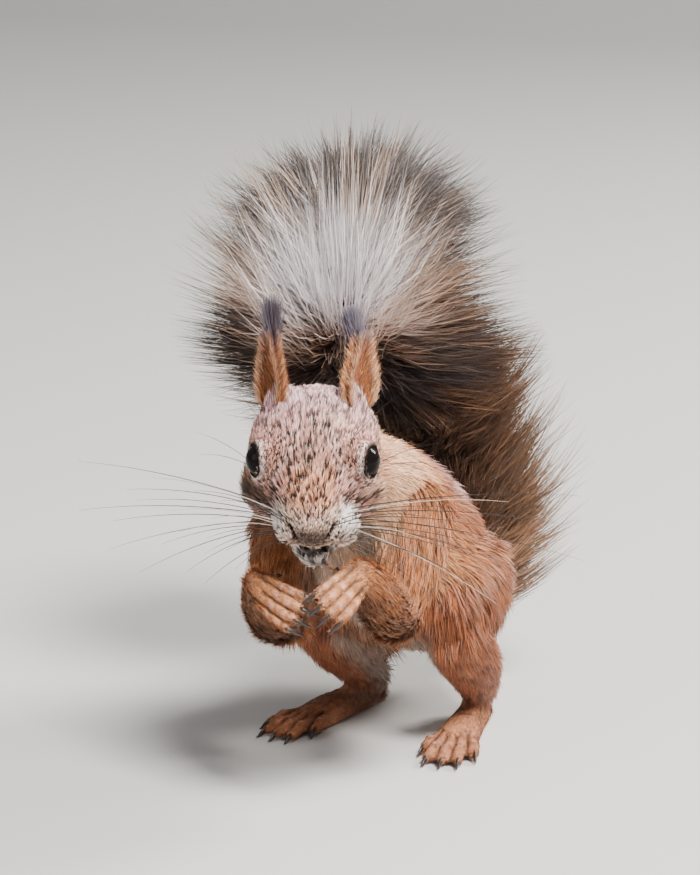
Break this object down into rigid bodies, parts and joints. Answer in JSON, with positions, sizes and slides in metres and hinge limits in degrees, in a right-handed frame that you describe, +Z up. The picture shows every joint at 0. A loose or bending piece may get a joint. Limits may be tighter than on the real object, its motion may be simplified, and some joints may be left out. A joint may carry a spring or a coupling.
{
  "type": "red squirrel",
  "caption": "Life-size still model of a crouching red squirrel with its hands under its chin and its bushy tail raised over its back.",
  "frame": {"origin": "on the floor, under the middle of the whole squirrel's box", "axes": "-Y the way the squirrel faces, +X its left side, +Z up"},
  "size_m": [0.1518, 0.163, 0.1851],
  "materials": {
    "red_fur": "matte",
    "grey_brown_fur": "matte",
    "white_fur": "matte",
    "dark_tail_fur": "matte",
    "eye": "gloss",
    "nose": "satin"
  },
  "bodies": {
    "root": {"head": "grey_brown_fur", "lower_jaw": "white_fur", "nose": "nose", "eye_left": "eye", "eye_right": "eye", "ear_left": "red_fur", "ear_right": "red_fur", "whisker_pad_left": "white_fur", "whisker_pad_right": "white_fur", "neck": "red_fur", "trunk": "grey_brown_fur", "upper_arm_left": "red_fur", "upper_arm_right": "red_fur", "forearm_left": "red_fur", "forearm_right": "red_fur", "hand_left": "red_fur", "hand_right": "red_fur", "thigh_left": "red_fur", "thigh_right": "red_fur", "shank_left": "red_fur", "shank_right": "red_fur", "foot_left": "red_fur", "foot_right": "red_fur", "tail_root": "dark_tail_fur", "tail_lower": "dark_tail_fur", "tail_middle": "dark_tail_fur", "tail_bend": "dark_tail_fur", "tail_end": "dark_tail_fur"}
  },
  "joints": []
}
